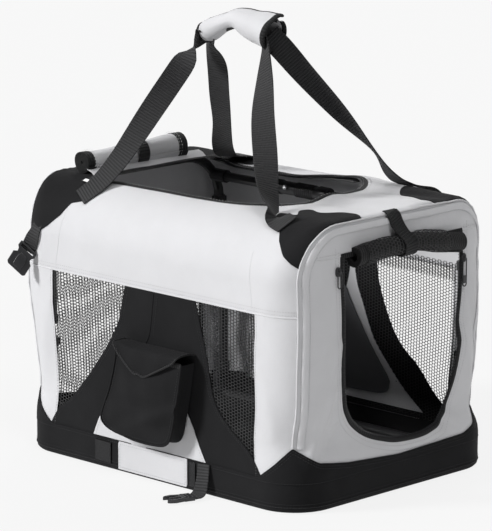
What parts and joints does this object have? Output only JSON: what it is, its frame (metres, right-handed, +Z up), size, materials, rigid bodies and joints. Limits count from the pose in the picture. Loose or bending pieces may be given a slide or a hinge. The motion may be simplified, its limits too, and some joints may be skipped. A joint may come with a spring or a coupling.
{
  "type": "pet carrier bag",
  "caption": "Soft-sided fabric pet carrier on a folding tube frame, with open end door, open roof flap, front pocket and twin webbing carry handle.",
  "frame": {"origin": "centre of the flat bottom of the bag, on the ground", "axes": "+Z up; X along the long side with +X at the end with the open door; -Y is the front with the pocket"},
  "size_m": [0.6355, 0.536, 0.712],
  "materials": {
    "grey_cloth": "light grey coated oxford weave, plain, slightly creased",
    "black_cloth": "black coated oxford weave, matte",
    "black_mesh": "black knitted hexagonal mesh",
    "webbing_black": "black ribbed polypropylene webbing",
    "tube_black": "black powder coat, satin",
    "moulded_black": "black moulded nylon, fine satin",
    "steel": "bright zinc plate"
  },
  "bodies": {
    "root": {"base_cover": "black_cloth", "base_board": "moulded_black", "floor_mat": "black_cloth", "front_patch": "grey_cloth", "base_corner_fl": "moulded_black", "base_corner_fr": "moulded_black", "base_corner_rl": "moulded_black", "base_corner_rr": "moulded_black", "base_rail_front": "tube_black", "base_rail_rear": "tube_black", "base_rail_left": "tube_black", "base_rail_right": "tube_black", "wall_front": "grey_cloth", "wall_rear": "grey_cloth", "wall_left": "grey_cloth", "wall_right": "grey_cloth", "pocket_body": "black_cloth"},
    "post_lower_fl": {"post_lower_fl": "tube_black", "knee_pin_fl": "steel"},
    "post_upper_fl": {"post_upper_fl": "tube_black"},
    "post_lower_fr": {"post_lower_fr": "tube_black", "knee_pin_fr": "steel"},
    "post_upper_fr": {"post_upper_fr": "tube_black"},
    "post_lower_rl": {"post_lower_rl": "tube_black", "knee_pin_rl": "steel"},
    "post_upper_rl": {"post_upper_rl": "tube_black"},
    "post_lower_rr": {"post_lower_rr": "tube_black", "knee_pin_rr": "steel"},
    "post_upper_rr": {"post_upper_rr": "tube_black"},
    "top_frame": {"hoop_left": "tube_black", "hoop_right": "tube_black", "rail_front_left": "tube_black", "rail_front_right": "tube_black", "rail_rear_left": "tube_black", "rail_rear_right": "tube_black", "top_panel": "grey_cloth", "shoulder_front": "grey_cloth", "shoulder_rear": "grey_cloth", "top_flap_roll": "grey_cloth", "flap_band": "black_cloth", "door_roll": "black_mesh", "door_band": "webbing_black", "handle_leg_front_left": "webbing_black", "handle_leg_rear_left": "webbing_black", "handle_leg_front_right": "webbing_black", "handle_leg_rear_right": "webbing_black"},
    "rail_sleeve_front": {"rail_sleeve_front": "moulded_black"},
    "snap_button_front": {"snap_button_front": "steel"},
    "rail_sleeve_rear": {"rail_sleeve_rear": "moulded_black"},
    "snap_button_rear": {"snap_button_rear": "steel"},
    "handle": {"handle_wrap": "grey_cloth"},
    "door_slider_right": {"door_slider_right": "moulded_black"},
    "door_pull_right": {"door_pull_right": "moulded_black"},
    "door_slider_left": {"door_slider_left": "moulded_black"},
    "door_pull_left": {"door_pull_left": "moulded_black"},
    "pocket_flap": {"pocket_flap": "black_cloth"},
    "buckle_plug": {"plug_strap": "webbing_black", "buckle_plug": "moulded_black"},
    "buckle_socket": {"socket_strap": "webbing_black", "buckle_socket": "moulded_black"}
  },
  "joints": [
    {"name": "frame_fold", "type": "hinge", "parent": "root", "child": "post_lower_fl", "pos_m": [-0.274, -0.194, 0.046], "axis": [0, 1, 0], "range_deg": [0, 85], "deforming": ["wall_front", "wall_rear", "wall_left", "wall_right"]},
    {"name": "knee_fl", "type": "hinge", "parent": "post_lower_fl", "child": "post_upper_fl", "pos_m": [-0.274, -0.194, 0.191], "axis": [0, 1, 0], "range_deg": [-170, 0]},
    {"name": "foot_fr", "type": "hinge", "parent": "root", "child": "post_lower_fr", "pos_m": [0.274, -0.194, 0.046], "axis": [0, 1, 0], "range_deg": [-85, 0]},
    {"name": "knee_fr", "type": "hinge", "parent": "post_lower_fr", "child": "post_upper_fr", "pos_m": [0.274, -0.194, 0.191], "axis": [0, 1, 0], "range_deg": [0, 170]},
    {"name": "foot_rl", "type": "hinge", "parent": "root", "child": "post_lower_rl", "pos_m": [-0.274, 0.194, 0.046], "axis": [0, 1, 0], "range_deg": [0, 85]},
    {"name": "knee_rl", "type": "hinge", "parent": "post_lower_rl", "child": "post_upper_rl", "pos_m": [-0.274, 0.194, 0.191], "axis": [0, 1, 0], "range_deg": [-170, 0]},
    {"name": "foot_rr", "type": "hinge", "parent": "root", "child": "post_lower_rr", "pos_m": [0.274, 0.194, 0.046], "axis": [0, 1, 0], "range_deg": [-85, 0]},
    {"name": "knee_rr", "type": "hinge", "parent": "post_lower_rr", "child": "post_upper_rr", "pos_m": [0.274, 0.194, 0.191], "axis": [0, 1, 0], "range_deg": [0, 170]},
    {"name": "top_frame_level", "type": "hinge", "parent": "post_upper_fl", "child": "top_frame", "pos_m": [-0.274, -0.194, 0.336], "axis": [0, 1, 0], "range_deg": [0, 85]},
    {"name": "sleeve_slide_front", "type": "slide", "parent": "top_frame", "child": "rail_sleeve_front", "axis": [1, 0, 0], "range_m": [0, 0.08]},
    {"name": "button_press_front", "type": "slide", "parent": "rail_sleeve_front", "child": "snap_button_front", "axis": [0, 0.9563, -0.2924], "range_m": [0, 0.002], "stiffness_N_per_m": 600},
    {"name": "sleeve_slide_rear", "type": "slide", "parent": "top_frame", "child": "rail_sleeve_rear", "axis": [1, 0, 0], "range_m": [0, 0.08]},
    {"name": "button_press_rear", "type": "slide", "parent": "rail_sleeve_rear", "child": "snap_button_rear", "axis": [0, 0.9563, -0.2924], "range_m": [0, 0.002], "stiffness_N_per_m": 600},
    {"name": "handle_drop", "type": "slide", "parent": "top_frame", "child": "handle", "axis": [0, 0, 1], "range_m": [-0.2, 0], "deforming": ["handle_leg_front_left", "handle_leg_rear_left", "handle_leg_front_right", "handle_leg_rear_right"]},
    {"name": "door_zip_right", "type": "slide", "parent": "top_frame", "child": "door_slider_right", "axis": [0, 0, 1], "range_m": [-0.165, 0]},
    {"name": "door_pull_swing_right", "type": "hinge", "parent": "door_slider_right", "child": "door_pull_right", "pos_m": [0.3137, 0.141, 0.344], "axis": [0, 1, 0], "range_deg": [-80, 0]},
    {"name": "door_zip_left", "type": "slide", "parent": "top_frame", "child": "door_slider_left", "axis": [0, 0, 1], "range_m": [-0.165, 0]},
    {"name": "door_pull_swing_left", "type": "hinge", "parent": "door_slider_left", "child": "door_pull_left", "pos_m": [0.3137, -0.142, 0.365], "axis": [0, 1, 0], "range_deg": [-80, 0]},
    {"name": "pocket_flap_lift", "type": "hinge", "parent": "root", "child": "pocket_flap", "pos_m": [0.019, -0.23, 0.216], "axis": [1, 0, 0], "range_deg": [-85, 0]},
    {"name": "plug_strap_lift", "type": "hinge", "parent": "root", "child": "buckle_plug", "pos_m": [0.115, -0.2295, 0.049], "axis": [1, 0, 0], "range_deg": [-90, 0]},
    {"name": "socket_strap_swing", "type": "hinge", "parent": "top_frame", "child": "buckle_socket", "pos_m": [-0.266, -0.2268, 0.356], "axis": [1, 0, 0], "range_deg": [-80, 0]}
  ],
  "couplings": [
    {"joint": "knee_fl", "follows": "frame_fold", "ratio": -2},
    {"joint": "foot_fr", "follows": "frame_fold", "ratio": -1},
    {"joint": "knee_fr", "follows": "frame_fold", "ratio": 2},
    {"joint": "foot_rl", "follows": "frame_fold", "ratio": 1},
    {"joint": "knee_rl", "follows": "frame_fold", "ratio": -2},
    {"joint": "foot_rr", "follows": "frame_fold", "ratio": -1},
    {"joint": "knee_rr", "follows": "frame_fold", "ratio": 2},
    {"joint": "top_frame_level", "follows": "frame_fold", "ratio": 1}
  ]
}
